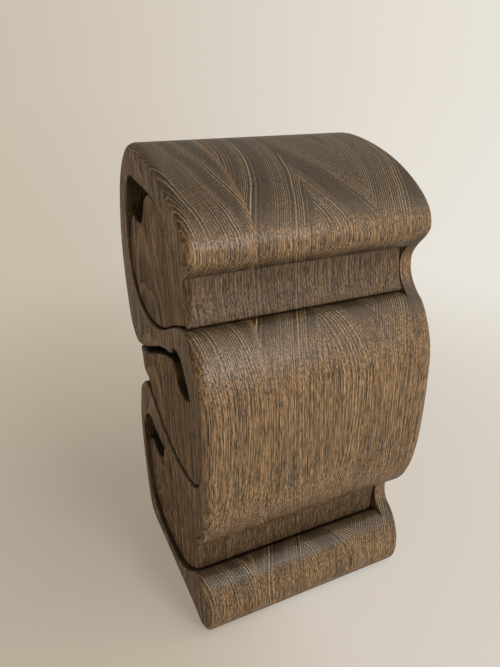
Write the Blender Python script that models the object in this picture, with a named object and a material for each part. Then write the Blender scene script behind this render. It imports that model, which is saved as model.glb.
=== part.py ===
"""Wooden jewelry box, sawn from one block of four glued boards, with three curved drawers.

Metres, +Z up. The front faces -Y, the drawers slide out along -Y, and the base rests on z = 0.
"""
import math

import bmesh
import bpy
from mathutils import Vector

# Overall size of the finished box
WIDTH = 0.144
DEPTH = 0.136
HEIGHT = 0.270

# The block: four boards of one depth, and the back panel sliced off the rear one
BOARDS = 4
PANEL_DEPTH = 0.010
GLUE_LINE = 0.0003

# Sanded edges
OUTER_EDGE = 0.0045
NOSE_EDGE = 0.0038
CAVITY_EDGE = 0.0012
DRAWER_EDGE = 0.0045
DRAWER_REAR_EDGE = 0.0035

# Drawers
SAW_GAP = 0.001
REST_GAP = 0.0003
MIDDLE_TOP_GAP = 0.0035
TOP_SETBACK = 0.0015
MIDDLE_SETBACK = 0.001
BOTTOM_SETBACK = 0.003
REAR_GAP = 0.0005
SLICE_DEPTH = 0.007
DRAWER_WALL = 0.007
FELT_THICKNESS = 0.0012
FELT_GAP = 0.0003

# Drawing grid of the front view: outline tables count its squares from the middle and the floor,
# so a point is its share of the width and of the height
GRID_COLUMNS = 144
GRID_ROWS = 270

# The case is one S-shaped ribbon of wood. Its outline runs from the hood's lip over the top
HOOD_SHARES = [(49.5, 219.5), (54.5, 222.5), (57.8, 230), (55.5, 239), (47, 248), (30, 258),
               (12, 264.5), (-8, 268.7), (-24, 270), (-38, 267.8), (-50, 259.5), (-60, 247),
               (-67.5, 228.5), (-71.3, 211), (-72, 197), (-70.8, 180), (-68, 166), (-63.5, 153)]
SHELF_END_SHARES = [(-57, 147.3), (-49, 146.3), (-40, 147.4)]
MIDDLE_ROOF_SHARES = [(-31, 150.3), (-17, 156), (3, 165), (15.5, 169)]
MIDDLE_NOOK_SHARES = [(25.5, 171.3), (29, 175.5), (35, 177), (42.5, 174.5), (49, 166)]
MIDDLE_FLOOR_SHARES = [(57, 150.5), (63, 135.5), (65, 124), (61.5, 113), (53, 105), (40, 102.2),
                       (24, 102), (8, 105), (-8, 111), (-26, 120)]
TONGUE_SHARES = [(-34, 123), (-41, 120), (-51, 111)]
BASE_SHARES = [(-59, 98.5), (-63.5, 81), (-64, 60), (-62.5, 39), (-60, 20), (-56.5, 8.5),
               (-51, 2.2), (-44, 0), (-30, 0), (40, 0), (54, 0)]
NOSE_SHARES = [(61.5, 3.2), (65.3, 11.5), (65, 24), (60.5, 35)]
NOSE_TIP_SHARES = [(54.8, 39.5), (49, 38.7)]
BOTTOM_FLOOR_SHARES = [(45.7, 36.2), (36, 27.3), (24, 18.4), (10, 13), (-6, 11.9), (-22, 12.5),
                       (-36, 16.5), (-46.5, 25), (-52, 40), (-54.3, 60)]
BOTTOM_NOOK_SHARES = [(-53, 77), (-46, 90.5), (-37, 97), (-29, 98.3), (-20, 95), (-11, 93.3)]
BOTTOM_ROOF_SHARES = [(-2, 92.7), (14, 93), (34, 93), (46, 91.2)]
BOTTOM_LIP_SHARES = [(52.5, 88.8), (57.7, 84.3), (60, 78.5), (58, 73)]
CHIN_SHARES = [(54.4, 70.3), (51.8, 68.1), (53.8, 65.9)]
BULGE_SHARES = [(58.2, 68.4), (63.7, 75.8), (68.8, 90), (71.5, 110), (72, 130), (71.7, 147),
                (70.3, 165), (65.5, 179.2), (59, 189.8)]
SHOULDER_SHARES = [(54.2, 193.3), (49, 193.6)]
TOP_FLOOR_SHARES = [(43.6, 193), (30, 187.8), (14, 180), (-2, 175.4), (-19, 175),
                    (-35, 180), (-46, 190), (-50.8, 204)]
TOP_NOOK_SHARES = [(-49.6, 219), (-45.8, 236), (-41.5, 246.5), (-34, 252), (-22, 251.5),
                   (-9, 250.3)]
TOP_ROOF_SHARES = [(1.5, 249.2), (14, 246.7), (26, 241.5), (37, 233.4)]
TOP_LIP_SHARES = [(44, 226)]

# The back panel closes the rear, with a smooth cove beside each drawer
PANEL_LEFT_SHARES = [(-56, 146), (-49.5, 137.5), (-46, 129), (-45.2, 121), (-49.5, 112)]
PANEL_LOW_SHARES = [(55.4, 41.2), (50.2, 45.2), (48, 50.5), (48, 57), (51, 63.2)]
PANEL_HIGH_SHARES = [(52.6, 195.4), (48.3, 201), (46.2, 207), (46.5, 213), (50.2, 219.2), (55, 224.7)]

# What each drawer has of its own: its finger notch and its bare side
TOP_NOTCH_SHARES = [(-46.3, 219), (-42, 227.5), (-37.5, 230.8), (-32, 229), (-25, 228.8),
                    (-19, 231.5), (-15, 237.5), (-11.5, 243.5), (-5.5, 247.5)]
TOP_SIDE_SHARES = [(46.8, 220.5), (47.5, 213), (48.8, 205.5), (50.6, 199), (50.9, 196.2), (49.2, 195.1)]
MIDDLE_NOTCH_SHARES = [(24.5, 167), (27.5, 163.5), (30, 157.5), (35.5, 154), (42, 153.2),
                       (48, 155.2), (52, 156.8)]
MIDDLE_SIDE_SHARES = [(-33, 124.9), (-38.6, 126), (-43, 129), (-45.2, 134), (-45.7, 140),
                      (-44.9, 144.8), (-41, 146.3)]
BOTTOM_NOTCH_SHARES = [(-52, 67), (-45, 71.8), (-38, 69.8), (-30, 68.8), (-23, 71), (-18, 76.5),
                       (-15, 84), (-10.5, 90.5)]
BOTTOM_SIDE_SHARES = [(53, 71.6), (50.2, 67), (48.4, 58), (47.6, 48), (46.6, 39.6)]

# How far a run of the outline may turn, or go straight, between two points
TURN_STEP = math.radians(15.5)
LONG_STEP_SHARE = 0.1
EDGE_STEPS = 3
REAR_EDGE_STEPS = 2
EDGE_WALL_SHARE = 0.5
EDGE_CURVE_SHARE = 0.8
EDGE_EASE_SHARE = 0.5
WALL_TRIM_SHARE = 0.96

WOOD_COLOUR = (0.17, 0.115, 0.065, 1)
DARK_WOOD_COLOUR = (0.13, 0.088, 0.05, 1)
FELT_COLOUR = (0.03, 0.028, 0.03, 1)


def drawn(shares, edge):
    """Points of an outline table in metres, each with the radius of its sanded edge."""
    return [Vector((x * WIDTH / GRID_COLUMNS, z * HEIGHT / GRID_ROWS, edge)) for x, z in shares]


def root(step):
    return max(step.xy.length, 1e-9) ** 0.5


def velocity(before, here, after):
    """Direction of the smooth curve at a control point; close points let it turn tightly."""
    back, ahead = root(here - before), root(after - here)
    return ((here - before) / back - (after - before) / (back + ahead)
            + (after - here) / ahead)


def velocities(points, closed):
    count = len(points)
    slopes = []
    for i, here in enumerate(points):
        before = points[i - 1] if closed or i else here * 2 - points[1]
        after = points[(i + 1) % count] if closed or i + 1 < count else here * 2 - points[-2]
        slopes.append(velocity(before, here, after))
    return slopes


def curve(points, closed=True):
    """Smooth curve through the control points, split where it turns or runs long."""
    slopes = velocities(points, closed)
    count = len(points)
    run = []
    for i in range(count if closed else count - 1):
        start, end = points[i], points[(i + 1) % count]
        leave, arrive = slopes[i], slopes[(i + 1) % count]
        chord = end - start
        turn = leave.xy.angle(chord.xy) + chord.xy.angle(arrive.xy)
        parts = math.ceil(max(turn / TURN_STEP, chord.xy.length / (WIDTH * LONG_STEP_SHARE)))
        for k in range(parts):
            t = k / parts
            run.append(start * (2 * t ** 3 - 3 * t ** 2 + 1) + end * (3 * t ** 2 - 2 * t ** 3)
                       + leave * root(chord) * (t ** 3 - 2 * t ** 2 + t)
                       + arrive * root(chord) * (t ** 3 - t ** 2))
    if not closed:
        run.append(points[-1])
    for point in run:
        point.y = max(point.y, 0)
    return run


def area(loop):
    return sum(a.xy.cross(b.xy) for a, b in zip(loop, loop[1:] + loop[:1])) / 2


def shifted(points, distance, closed=True):
    """Control points moved to the right of their run by a distance."""
    moved = []
    for point, slope in zip(points, velocities(points, closed)):
        moved.append(point + Vector((slope.y, -slope.x, 0)).normalized() * distance)
    return moved


def inward(loop):
    """For each corner of a loop that runs anticlockwise: its inward mitre and half turn."""
    corners = []
    for before, here, after in zip(loop[-1:] + loop[:-1], loop, loop[1:] + loop[:1]):
        arrive, leave = (here - before).xy.normalized(), (after - here).xy.normalized()
        half = arrive.angle_signed(leave, 0) / -2
        middle = (arrive + leave).normalized()
        corners.append((Vector((-middle.y, middle.x)) / max(math.cos(half), 0.6), half))
    return corners


def wall_behind(loop, i, side):
    """Thickness of the wood from a corner to the wall that faces it."""
    start, nearest = loop[i].xy, HEIGHT
    for j in range(len(loop)):
        a, b = loop[j].xy, loop[(j + 1) % len(loop)].xy
        if i in (j, (j + 1) % len(loop)):
            continue
        across = b - a
        spread = side.cross(across)
        if abs(spread) < 1e-12:
            continue
        depth = (a - start).cross(across) / spread
        along = (a - start).cross(side) / spread
        if 0 <= along <= 1 and depth > 1e-6:
            nearest = min(nearest, depth)
    return nearest


def edge_radii(loop, corners):
    """Sanded radius at each corner, limited by its wall, by tight curves and by its neighbours."""
    count = len(loop)
    radii = []
    for i, (mitre, half) in enumerate(corners):
        limit = min(loop[i].z, wall_behind(loop, i, mitre.normalized()) * EDGE_WALL_SHARE)
        for j in (i - 1, (i + 1) % count):
            pinch = math.tan(half) + math.tan(corners[j][1])
            if pinch > 0:
                limit = min(limit, (loop[i] - loop[j]).xy.length / pinch * EDGE_CURVE_SHARE)
        radii.append(limit)
    for step in (1, -1):
        for k in range(2 * count):
            i, j = (k * step) % count, ((k - 1) * step) % count
            reach = (loop[i] - loop[j]).xy.length * EDGE_EASE_SHARE
            radii[i] = min(radii[i], radii[j] + reach)
    return radii


def slab(name, loop, front, back, material, carrier=None, front_steps=0, back_steps=0):
    """Board with the outline's shape between two depths, its edges rounded where steps ask."""
    if area(loop) < 0:
        loop = loop[::-1]
    corners = inward(loop)
    radii = edge_radii(loop, corners) if front_steps or back_steps else [0] * len(loop)
    rows = []
    for k in range(front_steps):
        quarter = math.pi / 2 * k / front_steps
        rows.append((1 - math.sin(quarter), 1 - math.cos(quarter), front, 1))
    rows.append((0, 1 if front_steps else 0, front, 1))
    rows.append((0, 1 if back_steps else 0, back, -1))
    for k in reversed(range(back_steps)):
        quarter = math.pi / 2 * k / back_steps
        rows.append((1 - math.sin(quarter), 1 - math.cos(quarter), back, -1))
    home = carrier.location if carrier else Vector((0, 0, 0))
    bm = bmesh.new()
    rings = []
    for inset, sunk, face, sense in rows:
        ring = []
        for point, (mitre, half), radius in zip(loop, corners, radii):
            x, z = point.xy + mitre * inset * radius
            y = face + sense * sunk * radius
            ring.append(bm.verts.new(Vector((x, y, z)) - home))
        rings.append(ring)
    for ring, after in zip(rings, rings[1:]):
        for i in range(len(ring)):
            j = (i + 1) % len(ring)
            bm.faces.new((ring[j], ring[i], after[i], after[j]))
    bm.faces.new(rings[0])
    bm.faces.new(rings[-1][::-1])
    bmesh.ops.recalc_face_normals(bm, faces=bm.faces)
    mesh = bpy.data.meshes.new(name)
    bm.to_mesh(mesh)
    bm.free()
    piece = bpy.data.objects.new(name, mesh)
    mesh.materials.append(material)
    bpy.context.collection.objects.link(piece)
    if carrier:
        piece.parent = carrier
    return piece


def coat(name, colour, roughness):
    material = bpy.data.materials.new(name)
    material.use_nodes = True
    shader = material.node_tree.nodes["Principled BSDF"]
    shader.inputs["Base Color"].default_value = colour
    shader.inputs["Roughness"].default_value = roughness
    shader.inputs["Metallic"].default_value = 0
    return material


for leftover in list(bpy.data.objects):
    bpy.data.objects.remove(leftover)

FRONT = -DEPTH / 2
REAR = DEPTH / 2
PANEL_FRONT = REAR - PANEL_DEPTH
JOINTS = [FRONT + DEPTH * k / BOARDS for k in range(1, BOARDS)]

wood = coat("wood", WOOD_COLOUR, 0.42)
drawer_wood = coat("drawer_wood", DARK_WOOD_COLOUR, 0.45)
felt = coat("felt", FELT_COLOUR, 0.95)

# Case: the ribbon's outline, with wide edges outside and narrow ones round the drawers
RIBBON = [(HOOD_SHARES + SHELF_END_SHARES[:1], OUTER_EDGE),
          (SHELF_END_SHARES[1:] + MIDDLE_ROOF_SHARES + MIDDLE_NOOK_SHARES + MIDDLE_FLOOR_SHARES
           + TONGUE_SHARES, CAVITY_EDGE),
          (BASE_SHARES, OUTER_EDGE),
          (NOSE_SHARES, NOSE_EDGE),
          (NOSE_TIP_SHARES + BOTTOM_FLOOR_SHARES + BOTTOM_NOOK_SHARES + BOTTOM_ROOF_SHARES
           + BOTTOM_LIP_SHARES + CHIN_SHARES, CAVITY_EDGE),
          (BULGE_SHARES, OUTER_EDGE),
          (SHOULDER_SHARES + TOP_FLOOR_SHARES + TOP_NOOK_SHARES + TOP_ROOF_SHARES
           + TOP_LIP_SHARES, CAVITY_EDGE)]
controls = [point for shares, edge in RIBBON for point in drawn(shares, edge)]
ribbon = curve(controls)
slab("case_board_front", ribbon, FRONT, JOINTS[0] - GLUE_LINE / 2, wood, front_steps=EDGE_STEPS)
slab("case_board_second", ribbon, JOINTS[0] + GLUE_LINE / 2, JOINTS[1] - GLUE_LINE / 2, wood)
slab("case_board_third", ribbon, JOINTS[1] + GLUE_LINE / 2, JOINTS[2] - GLUE_LINE / 2, wood)
slab("case_board_rear", ribbon, JOINTS[2] + GLUE_LINE / 2, PANEL_FRONT - GLUE_LINE / 2, wood)

# Back panel: the same outside, closed across the drawers' sides by coves
panel = (drawn(HOOD_SHARES[2:] + PANEL_LEFT_SHARES + BASE_SHARES, OUTER_EDGE)
         + drawn(NOSE_SHARES + PANEL_LOW_SHARES, NOSE_EDGE)
         + drawn(BULGE_SHARES + PANEL_HIGH_SHARES, OUTER_EDGE))
slab("back_panel", curve(panel), PANEL_FRONT + GLUE_LINE / 2, REAR, wood,
     back_steps=REAR_EDGE_STEPS)


def clear_of(point, loop, distance):
    """Whether a point keeps a distance from every stretch of a loop."""
    for a, b in zip(loop, loop[1:] + loop[:1]):
        across = (b - a).xy
        along = min(max((point - a).xy.dot(across) / max(across.length_squared, 1e-12), 0), 1)
        if (a.xy + across * along - point.xy).length < distance:
            return False
    return True


def off_case(gap):
    """The case's control points, moved a gap into its cavities, under their own shares."""
    names = [share for shares, edge in RIBBON for share in shares]
    return dict(zip(names, shifted(controls, gap)))


def drawer(name, stretches, roof, setback, roof_gap=SAW_GAP):
    """One drawer. Its stretches go clockwise from the mouth's right end round the bottom."""
    settle = Vector((0, REST_GAP - SAW_GAP, 0))
    sawn = off_case(SAW_GAP)
    run = []
    for shares, edge in stretches:
        for share, point in zip(shares, drawn(shares, edge)):
            run.append(sawn.get(share, point) + settle)
    cut = off_case(roof_gap)
    roof = [cut[share] + settle for share in roof]
    whole = curve(run + roof)
    inner = [point for point in shifted(run + roof, DRAWER_WALL)[:len(run)]
             if clear_of(point, whole, DRAWER_WALL * WALL_TRIM_SHARE)]
    hollow = curve(roof[-1:] + inner + roof[:1], closed=False)
    trough = curve(roof[-1:] + run + roof[:1], closed=False) + hollow[-2:0:-1]
    lining = (curve(shifted(inner, FELT_GAP, closed=False), closed=False)
              + curve(shifted(inner, FELT_GAP + FELT_THICKNESS, closed=False),
                      closed=False)[::-1])

    front = FRONT + setback
    back = PANEL_FRONT - REAR_GAP
    carrier = bpy.data.objects.new(name, None)
    carrier.location = (0, front, sum(point.y for point in whole) / len(whole))
    bpy.context.collection.objects.link(carrier)
    slab(name + "_front", whole, front, front + SLICE_DEPTH - GLUE_LINE / 2, drawer_wood, carrier,
         front_steps=EDGE_STEPS)
    cuts = [front + SLICE_DEPTH] + JOINTS + [back - SLICE_DEPTH]
    for k, (start, end) in enumerate(zip(cuts, cuts[1:])):
        slab(f"{name}_board_{k + 1}", trough, start + GLUE_LINE / 2, end - GLUE_LINE / 2,
             drawer_wood, carrier)
    rear = [Vector((point.x, point.y, min(point.z, DRAWER_REAR_EDGE))) for point in whole]
    slab(name + "_back", rear, back - SLICE_DEPTH + GLUE_LINE / 2, back, drawer_wood, carrier,
         back_steps=REAR_EDGE_STEPS)
    slab(name + "_felt", lining, front + SLICE_DEPTH + FELT_GAP, back - SLICE_DEPTH - FELT_GAP,
         felt, carrier)


drawer("top_drawer",
       [(TOP_LIP_SHARES, CAVITY_EDGE), (TOP_SIDE_SHARES, DRAWER_EDGE),
        (TOP_FLOOR_SHARES + TOP_NOTCH_SHARES, CAVITY_EDGE)],
       TOP_ROOF_SHARES, TOP_SETBACK)
drawer("middle_drawer",
       [(MIDDLE_NOTCH_SHARES + MIDDLE_FLOOR_SHARES, CAVITY_EDGE),
        (MIDDLE_SIDE_SHARES, DRAWER_EDGE)],
       MIDDLE_ROOF_SHARES, MIDDLE_SETBACK, MIDDLE_TOP_GAP)
drawer("bottom_drawer",
       [(BOTTOM_LIP_SHARES, CAVITY_EDGE), (BOTTOM_SIDE_SHARES, DRAWER_EDGE),
        (BOTTOM_FLOOR_SHARES + BOTTOM_NOTCH_SHARES, CAVITY_EDGE)],
       BOTTOM_ROOF_SHARES, BOTTOM_SETBACK)
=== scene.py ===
import math

import bmesh
import bpy
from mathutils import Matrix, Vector
from mathutils.kdtree import KDTree


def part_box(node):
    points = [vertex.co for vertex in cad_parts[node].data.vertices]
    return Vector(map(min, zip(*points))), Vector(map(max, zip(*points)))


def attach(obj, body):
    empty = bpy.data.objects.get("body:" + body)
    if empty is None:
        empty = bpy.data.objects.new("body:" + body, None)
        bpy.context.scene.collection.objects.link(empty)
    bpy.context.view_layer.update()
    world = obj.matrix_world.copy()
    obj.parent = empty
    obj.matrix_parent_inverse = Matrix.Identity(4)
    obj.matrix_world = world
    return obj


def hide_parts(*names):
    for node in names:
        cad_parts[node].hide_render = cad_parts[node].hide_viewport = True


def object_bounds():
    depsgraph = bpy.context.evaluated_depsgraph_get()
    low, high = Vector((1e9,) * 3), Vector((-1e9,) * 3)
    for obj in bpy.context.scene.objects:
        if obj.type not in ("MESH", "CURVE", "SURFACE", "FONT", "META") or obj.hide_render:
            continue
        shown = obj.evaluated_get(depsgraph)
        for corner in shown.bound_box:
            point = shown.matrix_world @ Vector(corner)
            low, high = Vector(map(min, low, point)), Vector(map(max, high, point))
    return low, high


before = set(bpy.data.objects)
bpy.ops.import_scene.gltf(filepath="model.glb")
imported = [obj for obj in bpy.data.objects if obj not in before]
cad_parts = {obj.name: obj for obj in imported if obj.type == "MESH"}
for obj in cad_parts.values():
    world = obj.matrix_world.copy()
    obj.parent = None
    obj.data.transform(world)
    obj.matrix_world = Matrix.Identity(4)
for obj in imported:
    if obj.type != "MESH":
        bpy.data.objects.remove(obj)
cad_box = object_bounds()

# Viewpoint
# The box is seen from above its right front corner, close by, so the front narrows strongly
# and the bulging side, where the sawn cavities open, takes most of the picture.
eye = bpy.data.objects.new("viewpoint", bpy.data.cameras.new("viewpoint"))
bpy.context.scene.collection.objects.link(eye)
eye.location = (0.2765, -0.139, 0.303)
eye.rotation_euler = (math.radians(64.96), 0, math.radians(65.11))
eye.data.sensor_width = 36
eye.data.lens = 30.16
eye.data.clip_start = 0.01
bpy.context.scene.camera = eye
bpy.context.scene.view_settings.view_transform = "Standard"


# Table top and studio light
# A plain matt paper in warm white, a broad warm lamp high at the right, a smaller one lower there
# like a window, for the sheen on the rounded wood, and a pale room. The room and the far paper
# carry painted light: paler on the window's side.
def linear(colour):
    """Hex sRGB colour as the linear values a shader takes."""
    parts = [int(colour[i:i + 2], 16) / 255 for i in (1, 3, 5)]
    return tuple(c / 12.92 if c < 0.04045 else ((c + 0.055) / 1.055) ** 2.4 for c in parts) + (1,)


def add(tree, kind, inputs=(), **settings):
    """A node with its settings, and its inputs set or linked."""
    node = tree.nodes.new(kind)
    for name, value in settings.items():
        setattr(node, name, value)
    for socket, value in dict(inputs).items():
        if isinstance(value, bpy.types.NodeSocket):
            tree.links.new(value, node.inputs[socket])
        else:
            node.inputs[socket].default_value = value
    return node


def looked_at(tree):
    """1 for the camera's rays and for what gloss and glass show, 0 for light on the object."""
    rays = add(tree, "ShaderNodeLightPath").outputs
    seen = add(tree, "ShaderNodeMath", {0: rays["Is Camera Ray"], 1: rays["Is Glossy Ray"]},
               operation="MAXIMUM").outputs[0]
    return add(tree, "ShaderNodeMath", {0: seen, 1: rays["Is Transmission Ray"]},
               operation="MAXIMUM").outputs[0]


def backdrop(tree, place):
    """Colour of the room, with painted light: paler on the side of the window, darker away from it.
    """
    way = add(tree, "ShaderNodeVectorMath", {0: place}, operation="NORMALIZE").outputs[0]
    way = add(tree, "ShaderNodeVectorMath", {0: way, 1: (0.42, 0.907, 0)},
              operation="DOT_PRODUCT").outputs["Value"]
    way = add(tree, "ShaderNodeMapRange", {"Value": way, "From Min": -0.6, "From Max": 0.6},
              interpolation_type="SMOOTHSTEP").outputs[0]
    return add(tree, "ShaderNodeMix", {0: way, 6: linear("#c8bcaa"), 7: linear("#ebe6dd")},
               data_type="RGBA").outputs[2]


bpy.ops.object.select_all(action="DESELECT")
bpy.ops.mesh.primitive_plane_add(size=12, location=(0, 0, 0))
table = bpy.context.object
table.name = "table"
paper = bpy.data.materials.new("matt_paper")
paper.use_nodes = True
tree = paper.node_tree
shader = tree.nodes["Principled BSDF"]
shader.inputs["Base Color"].default_value = linear("#ebe6dd")
shader.inputs["Roughness"].default_value = 0.8
shader.inputs["Specular IOR Level"].default_value = 0.2
place = add(tree, "ShaderNodeTexCoord").outputs["Object"]
away = add(tree, "ShaderNodeVectorMath", {0: place}, operation="LENGTH").outputs["Value"]
far = add(tree, "ShaderNodeMapRange", {"Value": away, "From Min": 0.1, "From Max": 0.7,
                                       "To Min": 0.45, "To Max": 1.0},
          interpolation_type="SMOOTHSTEP").outputs[0]
seen = looked_at(tree)
far = add(tree, "ShaderNodeMath", {0: far, 1: seen}, operation="MULTIPLY").outputs[0]
# painted light: the paper seen from afar glows in the room's colour, paler towards the window
glow = add(tree, "ShaderNodeEmission", {"Color": backdrop(tree, place)}).outputs[0]
both = add(tree, "ShaderNodeMixShader", {0: far, 1: shader.outputs[0], 2: glow}).outputs[0]
tree.links.new(both, tree.nodes["Material Output"].inputs["Surface"])
table.data.materials.append(paper)

room = bpy.data.worlds.new("room")
bpy.context.scene.world = room
room.use_nodes = True
tree = room.node_tree
light = tree.nodes["Background"]
light.inputs["Color"].default_value = linear("#ffecd2")
light.inputs["Strength"].default_value = 0.2
place = add(tree, "ShaderNodeTexCoord").outputs["Generated"]
# painted light: the room the camera and the gloss see is paler towards the window
wall = add(tree, "ShaderNodeBackground", {"Color": backdrop(tree, place)}).outputs[0]
seen = looked_at(tree)
both = add(tree, "ShaderNodeMixShader", {0: seen, 1: light.outputs[0], 2: wall}).outputs[0]
tree.links.new(both, tree.nodes["World Output"].inputs["Surface"])

for name, place, size, power, colour in (
        ("lamp_high", (0.50, 0.45, 1.00), 0.9, 5.0, "#fff0de"),
        ("lamp_window", (1.02, 0.30, 0.55), 0.36, 4.8, "#f1f3f6")):
    lamp = bpy.data.objects.new(name, bpy.data.lights.new(name, "AREA"))
    bpy.context.scene.collection.objects.link(lamp)
    lamp.location = place
    lamp.rotation_euler = (Vector((0, 0, 0.13)) - lamp.location).to_track_quat("-Z", "Y").to_euler()
    lamp.data.size = size
    lamp.data.energy = power
    lamp.data.color = linear(colour)[:3]


# Front board of the case
# The case is sawn from four glued boards of an open-grained brown hardwood, with the fibres
# upright. The front board carries the widest hand-sanded edge and the cavities' mouths. The outside
# is sanded and oiled; the cavities' walls stay as the saw left them, duller, and are darkened with
# painted shade.
def sawn_outline(node, back=True):
    """Ordered corners of a board's flat sawn face: (x, where its sanded edge starts, z)."""
    bm = bmesh.new()
    bm.from_mesh(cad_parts[node].data)
    bmesh.ops.remove_doubles(bm, verts=bm.verts, dist=1e-5)
    sense = 1 if back else -1
    plane = max(sense * v.co.y for v in bm.verts) * sense
    flat = {f for f in bm.faces if all(abs(v.co.y - plane) < 1e-5 for v in f.verts)}
    ring = {}
    for edge in bm.edges:
        if sum(f in flat for f in edge.link_faces) == 1:
            for v in edge.verts:
                ring.setdefault(v, []).append(edge.other_vert(v))
    start = here = next(iter(ring))
    before, walk = None, []
    while True:
        walk.append(here)
        onward = [v for v in ring[here] if v is not before]
        before, here = here, onward[0]
        if here is start:
            break
    points = []
    for v in walk:
        column = [u.co.y for u in bm.verts
                  if abs(u.co.x - v.co.x) < 2e-6 and abs(u.co.z - v.co.z) < 2e-6]
        points.append(Vector((v.co.x, min(column) if back else max(column), v.co.z)))
    bm.free()
    area = sum(a.x * b.z - b.x * a.z for a, b in zip(points, points[1:] + points[:1]))
    return points if area > 0 else points[::-1]


def solid(name, points, near, far, material, rows=0):
    """Board drawn as a smooth closed outline and extruded, its near edge sanded round."""
    sharp_corner, flat_shading = math.radians(32), math.radians(35)
    bpy.ops.object.select_all(action="DESELECT")
    drawing = bpy.data.curves.new(name, "CURVE")
    drawing.dimensions = "3D"
    drawing.resolution_u = 5
    line = drawing.splines.new("BEZIER")
    line.bezier_points.add(len(points) - 1)
    line.use_cyclic_u = True
    for i, (knot, point) in enumerate(zip(line.bezier_points, points)):
        arrive, leave = point - points[i - 1], points[(i + 1) % len(points)] - point
        corner = Vector((arrive.x, arrive.z)).angle(Vector((leave.x, leave.z)))
        knot.co = (point.x, abs(point.y - near), point.z)
        knot.handle_left_type = knot.handle_right_type = (
            "VECTOR" if corner > sharp_corner else "AUTO")
    piece = bpy.data.objects.new(name, drawing)
    bpy.context.scene.collection.objects.link(piece)
    bpy.context.view_layer.objects.active = piece
    piece.select_set(True)
    bpy.ops.object.convert(target="MESH")
    mesh = piece.data
    ring = [Vector((min(v.co.x, cad_box[1][0]), 0, min(max(v.co.z, 0), cad_box[1][2])))
            for v in mesh.vertices]
    width = [v.co.y if rows else 0 for v in mesh.vertices]
    inward = []
    for i, here in enumerate(ring):
        run = (ring[(i + 1) % len(ring)] - ring[i - 1]).normalized()
        inward.append(Vector((-run.z, 0, run.x)))
    for ease in range(40 if rows else 0):
        for i, here in enumerate(ring):
            step = here - ring[i - 1]
            shrunk = step + inward[i] * width[i] - inward[i - 1] * width[i - 1]
            if shrunk.dot(step) < 0.2 * step.dot(step):
                width[i - 1] = width[i] = min(width[i], width[i - 1]) * 0.9
            reach = step.length / 2
            width[i] = min(width[i], width[i - 1] + reach)
            width[i - 1] = min(width[i - 1], width[i] + reach)
    edge = mesh.attributes.new("sanded", "FLOAT_VECTOR", "POINT")
    for i, v in enumerate(mesh.vertices):
        edge.data[i].vector = (inward[i] + Vector((0, 1, 0))) * width[i]
        v.co = ring[i]
    bpy.ops.object.mode_set(mode="EDIT")
    bpy.ops.mesh.select_all(action="SELECT")
    for row in range(rows + 1):
        bpy.ops.mesh.extrude_region_move(TRANSFORM_OT_translate={"value": (0, 1, 0)})
    bpy.ops.object.mode_set(mode="OBJECT")
    sense = 1 if far > near else -1
    sanded = [d.vector.copy() for d in mesh.attributes["sanded"].data]
    level = [round(v.co.y) for v in mesh.vertices]
    for v, row, edge in zip(mesh.vertices, level, sanded):
        turn = math.pi / 2 * min(row / rows, 1) if rows else math.pi / 2
        v.co.x += edge.x * (1 - math.sin(turn))
        v.co.z += edge.z * (1 - math.sin(turn))
        v.co.y = far if row > rows else near + sense * edge.y * (1 - math.cos(turn))
    bpy.ops.object.mode_set(mode="EDIT")
    bpy.ops.mesh.select_all(action="SELECT")
    bpy.ops.mesh.fill_holes(sides=0)
    bpy.ops.mesh.select_all(action="SELECT")
    bpy.ops.mesh.normals_make_consistent(inside=False)
    bpy.ops.object.mode_set(mode="OBJECT")
    mesh.attributes.remove(mesh.attributes["sanded"])
    bpy.ops.object.shade_smooth_by_angle(angle=flat_shading)
    piece.modifiers.new("even_shading", "WEIGHTED_NORMAL").keep_sharp = True
    bpy.ops.object.modifier_apply(modifier="even_shading")
    mesh.materials.clear()
    mesh.materials.append(material)
    return piece


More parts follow.
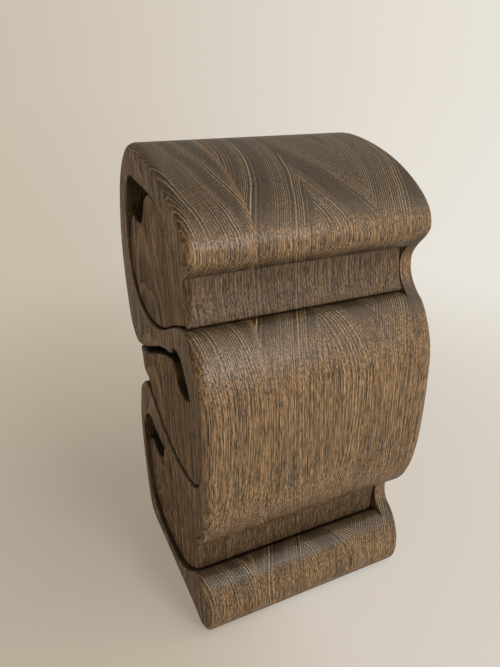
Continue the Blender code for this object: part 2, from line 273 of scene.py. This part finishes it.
def hardwood(name, heart, pore_width, pore_length, seed, sealed=None, sawn=1.0):
    """Stained ring-porous hardwood: rings round the board's own heart, pores along the fibres.
    It looks soft and deep brown, with fine light rings where the fibres are cut across and short
    dark pores along them. Below 1, sawn darkens what faces away from front and rear, as painted
    shade that on the drawers' sides also stands for stain, and makes it duller."""
    material = bpy.data.materials.new(name)
    material.use_nodes = True
    tree = material.node_tree
    shader = tree.nodes["Principled BSDF"]
    coordinates = add(tree, "ShaderNodeTexCoord")
    mm = add(tree, "ShaderNodeVectorMath", {0: coordinates.outputs["Object"], 3: 1000.0},
             operation="SCALE").outputs[0]

    # rings a little over 1 mm wide, bent by slow waves and leaning a little, as the trunk tapered
    ring_pitch = 1.25
    slow = add(tree, "ShaderNodeMapping", {"Vector": mm, "Location": (seed, 0, 0),
                                           "Scale": (1 / 50, 1 / 50, 1 / 130)}).outputs[0]
    wave = add(tree, "ShaderNodeTexNoise", {"Vector": slow, "Scale": 1.0, "Detail": 2.0,
                                            "Roughness": 0.5}).outputs["Fac"]
    flat = add(tree, "ShaderNodeVectorMath", {0: mm, 1: (1, 1, 0)}, operation="MULTIPLY")
    away = add(tree, "ShaderNodeVectorMath", {0: flat.outputs[0], 1: (*heart, 0)},
               operation="DISTANCE").outputs["Value"]
    lean = add(tree, "ShaderNodeVectorMath", {0: mm, 1: (0, 0, 0.05)},
               operation="DOT_PRODUCT").outputs["Value"]
    bent = add(tree, "ShaderNodeMath", {0: wave, 1: 7.0, 2: away},
               operation="MULTIPLY_ADD").outputs[0]
    bent = add(tree, "ShaderNodeMath", {0: bent, 1: lean}, operation="ADD").outputs[0]
    decade = add(tree, "ShaderNodeMath", {0: bent, 1: 1 / 11, 2: seed},
                 operation="MULTIPLY_ADD").outputs[0]
    bunch = add(tree, "ShaderNodeTexNoise", {"W": decade, "Scale": 1.0, "Detail": 1.0},
                noise_dimensions="1D").outputs["Fac"]
    bent = add(tree, "ShaderNodeMath", {0: bunch, 1: 6.0, 2: bent},
               operation="MULTIPLY_ADD").outputs[0]
    count = add(tree, "ShaderNodeMath", {0: bent, 1: 1 / ring_pitch},
                operation="MULTIPLY").outputs[0]
    year = add(tree, "ShaderNodeMath", {0: count}, operation="FRACT").outputs[0]
    which = add(tree, "ShaderNodeMath", {0: count}, operation="FLOOR").outputs[0]
    luck = add(tree, "ShaderNodeTexWhiteNoise", {"W": which},
               noise_dimensions="1D").outputs["Value"]
    late = add(tree, "ShaderNodeMapRange", {"Value": year, "From Min": 0.6, "From Max": 0.9},
               interpolation_type="SMOOTHSTEP").outputs[0]
    strength = add(tree, "ShaderNodeMapRange", {"Value": bunch, "From Min": 0.35, "From Max": 0.6,
                                                "To Min": 0.15, "To Max": 1.0}).outputs[0]
    luck = add(tree, "ShaderNodeMapRange", {"Value": luck, "To Min": 0.4}).outputs[0]
    strength = add(tree, "ShaderNodeMath", {0: strength, 1: luck},
                   operation="MULTIPLY").outputs[0]
    line = add(tree, "ShaderNodeMapRange", {"Value": strength, "To Min": 0.3,
                                            "To Max": 0.9}).outputs[0]
    line = add(tree, "ShaderNodeMath", {0: late, 1: line}, operation="MULTIPLY").outputs[0]
    late = add(tree, "ShaderNodeMath", {0: late, 1: strength}, operation="MULTIPLY").outputs[0]

    # pores: narrow upright vessels, crowded into the early part of each ring. Real ones are
    # about 0.3 mm wide; they are drawn up to twice as wide, so that they show
    vessel = add(tree, "ShaderNodeMapping", {"Vector": mm, "Location": (0, seed, 0),
                                             "Scale": (1 / pore_width, 1 / pore_width,
                                                       1 / pore_length)}).outputs[0]
    cell = add(tree, "ShaderNodeTexVoronoi", {"Vector": vessel, "Scale": 1.0},
               feature="F1").outputs["Distance"]
    early = add(tree, "ShaderNodeMapRange", {"Value": year, "From Min": 0.6, "From Max": 0.2,
                                             "To Min": 0.2, "To Max": 0.4}).outputs[0]
    pore = add(tree, "ShaderNodeMath", {0: early, 1: cell}, operation="SUBTRACT").outputs[0]
    pore = add(tree, "ShaderNodeMapRange", {"Value": pore, "From Min": 0.0, "From Max": 0.1},
               ).outputs[0]

    # colour: tan along the fibres, darker where they are cut across and took more stain
    streak = add(tree, "ShaderNodeMapping", {"Vector": mm, "Location": (0, 0, seed),
                                             "Scale": (1 / 4, 1 / 1.1, 1 / 45)}).outputs[0]
    streak = add(tree, "ShaderNodeTexNoise", {"Vector": streak, "Scale": 1.0, "Detail": 4.0,
                                              "Roughness": 0.5}).outputs["Fac"]
    streak = add(tree, "ShaderNodeMapRange", {"Value": streak, "From Min": 0.35,
                                              "From Max": 0.64}).outputs[0]
    side = add(tree, "ShaderNodeMix", {0: streak, 6: linear("#514130"), 7: linear("#967958")},
               data_type="RGBA").outputs[2]
    side = add(tree, "ShaderNodeMix", {0: line, 6: side, 7: linear("#ae9270")},
               data_type="RGBA").outputs[2]
    across = add(tree, "ShaderNodeMix", {0: late, 6: linear("#43382b"), 7: linear("#baa37f")},
                 data_type="RGBA").outputs[2]
    facing = add(tree, "ShaderNodeSeparateXYZ", {0: coordinates.outputs["Normal"]}).outputs
    upright = add(tree, "ShaderNodeMath", {0: facing[2]}, operation="ABSOLUTE").outputs[0]
    cut = add(tree, "ShaderNodeMapRange", {"Value": upright, "From Min": 0.25, "From Max": 0.8},
              interpolation_type="SMOOTHSTEP").outputs[0]
    body = add(tree, "ShaderNodeMix", {0: cut, 6: side, 7: across}, data_type="RGBA").outputs[2]
    if sealed:
        depth = add(tree, "ShaderNodeSeparateXYZ", {0: mm}).outputs[1]
        glue = add(tree, "ShaderNodeMapRange", {"Value": depth, "From Min": sealed[0],
                                                "From Max": sealed[1], "To Max": 0.5}).outputs[0]
        body = add(tree, "ShaderNodeMix", {0: glue, 6: body, 7: linear("#a38260")},
                   data_type="RGBA").outputs[2]
    # on the front and rear faces the stain brings out broad upright stripes
    ahead = add(tree, "ShaderNodeMath", {0: facing[1]}, operation="ABSOLUTE").outputs[0]
    stripe = add(tree, "ShaderNodeMapping", {"Vector": mm, "Location": (seed, 0, 0),
                                             "Scale": (1 / 2.6, 0, 1 / 60)}).outputs[0]
    stripe = add(tree, "ShaderNodeTexNoise", {"Vector": stripe, "Scale": 1.0, "Detail": 2.0,
                                              "Distortion": 0.3}).outputs["Fac"]
    stripe = add(tree, "ShaderNodeMapRange", {"Value": stripe, "From Min": 0.4, "From Max": 0.6,
                                              "To Min": 0.68, "To Max": 1.3}).outputs[0]
    front = add(tree, "ShaderNodeMapRange", {"Value": ahead, "From Min": 0.6, "From Max": 0.95,
                                             }).outputs[0]
    stripe = add(tree, "ShaderNodeMix", {0: front, 2: 1.0, 3: stripe}).outputs[0]
    body = add(tree, "ShaderNodeVectorMath", {0: body, 3: stripe}, operation="SCALE").outputs[0]
    # painted shade: below 1, faces turned away from front and rear are darkened; on the drawers'
    # sides it also stands for stain
    if sawn < 1:
        stain_and_shade = add(tree, "ShaderNodeMapRange", {"Value": ahead, "From Min": 0.5, "From Max": 0.9,
                                                 "To Min": sawn}).outputs[0]
        body = add(tree, "ShaderNodeVectorMath", {0: body, 3: stain_and_shade}, operation="SCALE").outputs[0]
    grain = add(tree, "ShaderNodeMapping", {"Vector": mm, "Scale": (1 / 0.45, 1 / 0.45, 1 / 9)},
                ).outputs[0]
    grain = add(tree, "ShaderNodeTexNoise", {"Vector": grain, "Scale": 1.0, "Detail": 1.0},
                ).outputs["Fac"]
    grain = add(tree, "ShaderNodeMapRange", {"Value": grain, "From Min": 0.36, "From Max": 0.64,
                                             "To Min": 0.4, "To Max": 1.6}).outputs[0]
    body = add(tree, "ShaderNodeVectorMath", {0: body, 3: grain}, operation="SCALE").outputs[0]
    depth = add(tree, "ShaderNodeMath", {0: pore, 1: 0.9}, operation="MULTIPLY").outputs[0]
    colour = add(tree, "ShaderNodeMix", {0: depth, 6: body, 7: linear("#221911")},
                 data_type="RGBA").outputs[2]
    tree.links.new(colour, shader.inputs["Base Color"])
    gloss = add(tree, "ShaderNodeMapRange", {"Value": pore, "To Min": 0.38 if sawn == 1 else 0.5,
                                             "To Max": 0.8}).outputs[0]
    tree.links.new(gloss, shader.inputs["Roughness"])
    # the open pores swallow the light that grazes the surface
    turned = add(tree, "ShaderNodeLayerWeight", {"Blend": 0.5}).outputs["Facing"]
    shine = add(tree, "ShaderNodeMapRange", {"Value": turned, "From Min": 0.3, "From Max": 0.8,
                                             "To Min": 0.3, "To Max": 0.05}).outputs[0]
    tree.links.new(shine, shader.inputs["Specular IOR Level"])
    height = add(tree, "ShaderNodeMath", {0: pore, 1: -0.0001}, operation="MULTIPLY").outputs[0]
    bump = add(tree, "ShaderNodeBump", {"Height": height, "Distance": 1.0, "Strength": 0.5})
    tree.links.new(bump.outputs[0], shader.inputs["Normal"])
    return material


def shade_cavity_walls(piece, material):
    """The cavities' walls, well inside the closed outline of the back panel, are left sawn: duller,
    and darkened with painted shade.
    """
    sanded_reach, flat_face = 0.0055, 0.95
    piece.data.materials.append(material)
    for face in piece.data.polygons:
        spot = (face.center.x, 0, face.center.z)
        if abs(face.normal.y) < flat_face and closed.find(spot)[2] > sanded_reach:
            face.material_index = 1


# heart, pore width and pore length in mm, and seed. Glue sealed the wood beside the first joint
figure = ((-17, 92), 0.65, 3.2, 3.0)
# how far the sawn wood is darkened: painted shade in the cavities, partly stain and partly painted
# shade on the drawers' sides
stain_and_shade_tone = 0.57
edge_rows = 8
board_front = hardwood("oiled_hardwood_front", *figure, sealed=(-37.5, -34.0))
sawn_shaded_front = hardwood("sawn_shaded_hardwood_front", *figure, sawn=stain_and_shade_tone)
shell = sawn_outline("back_panel", back=False)
parts = 20
steps = [a.lerp(b, k / parts) for a, b in zip(shell, shell[1:] + shell[:1])
         for k in range(parts)]
closed = KDTree(len(steps))
for k, spot in enumerate(steps):
    closed.insert((spot.x, 0, spot.z), k)
closed.balance()
ribbon = sawn_outline("case_board_front")
low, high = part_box("case_board_front")
glue = 0.00014      # boards meet here; the solids leave 0.3 mm between them
piece = solid("front_board", ribbon, low.y, high.y + glue, board_front, rows=edge_rows)
shade_cavity_walls(piece, sawn_shaded_front)
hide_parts("case_board_front")
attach(piece, "case")

# Second, third and rear boards of the case
# Glued on behind the front board, each turned over against its neighbour, so the rings meet
# in pointed figures at the joints. They are plain sawn through.
figures = {"second": ((-17, -165), 0.5, 4.0, 11.0), "third": ((-17, 96), 0.5, 4.0, 23.0),
           "rear": ((-17, -105), 0.5, 4.0, 31.0)}
oiled = {k: hardwood("oiled_hardwood_" + k, *figures[k]) for k in figures}
sawn = {k: hardwood("sawn_shaded_hardwood_" + k, *figures[k], sawn=stain_and_shade_tone) for k in figures}
for board in figures:
    node = "case_board_" + board
    low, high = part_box(node)
    outline = [Vector((p.x, low.y - glue, p.z)) for p in ribbon]
    piece = solid(board + "_board", outline, low.y - glue, high.y + glue, oiled[board])
    shade_cavity_walls(piece, sawn[board])
    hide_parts(node)
    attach(piece, "case")

# Back panel
# A slice of the rear board, glued back on to close the cavities, with its rear edge rounded
# like the front one.
low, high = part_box("back_panel")
outline = sawn_outline("back_panel", back=False)
piece = solid("panel", outline, high.y, low.y - glue, oiled["rear"], rows=edge_rows)
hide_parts("back_panel")
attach(piece, "case")

# Drawers
# Each drawer is the wood from its own cavity. A front and a back slice were sawn off, the middle
# was sawn out to a trough, and the slices were glued on again. Its sides stay as the saw left them,
# duller and darker than the sanded case: partly the stain they took, partly painted shade, as under
# the case's overhangs.
drawer_boards = (sawn_shaded_front, sawn["second"], sawn["third"], sawn["rear"])
for drawer in ("top_drawer", "middle_drawer", "bottom_drawer"):
    low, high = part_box(drawer + "_front")
    outline = sawn_outline(drawer + "_front")
    piece = solid(drawer + "_face", outline, low.y, high.y + glue, drawer_boards[0], rows=edge_rows)
    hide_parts(drawer + "_front")
    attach(piece, drawer)
    low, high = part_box(drawer + "_back")
    outline = sawn_outline(drawer + "_back", back=False)
    piece = solid(drawer + "_rear", outline, high.y, low.y - glue, drawer_boards[3], rows=edge_rows)
    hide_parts(drawer + "_back")
    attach(piece, drawer)
    for k, material in enumerate(drawer_boards):
        node = f"{drawer}_board_{k + 1}"
        low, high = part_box(node)
        outline = sawn_outline(node)
        piece = solid(f"{drawer}_body_{k + 1}", outline, low.y - glue, high.y + glue, material)
        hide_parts(node)
        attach(piece, drawer)

# Felt linings
# Soft dark felt glued over each trough's floor and walls.
wool = bpy.data.materials.new("wool_felt")
wool.use_nodes = True
tree = wool.node_tree
shader = tree.nodes["Principled BSDF"]
place = add(tree, "ShaderNodeTexCoord").outputs["Object"]
fuzz = add(tree, "ShaderNodeTexNoise", {"Vector": place, "Scale": 900.0, "Detail": 4.0})
colour = add(tree, "ShaderNodeMix", {0: fuzz.outputs["Fac"], 6: linear("#1c1a1c"),
                                     7: linear("#3a363a")}, data_type="RGBA").outputs[2]
tree.links.new(colour, shader.inputs["Base Color"])
shader.inputs["Roughness"].default_value = 0.95
shader.inputs["Sheen Weight"].default_value = 0.4
for drawer in ("top_drawer", "middle_drawer", "bottom_drawer"):
    node = drawer + "_felt"
    low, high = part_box(node)
    piece = solid(drawer + "_lining", sawn_outline(node), low.y, high.y, wool)
    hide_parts(node)
    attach(piece, drawer)
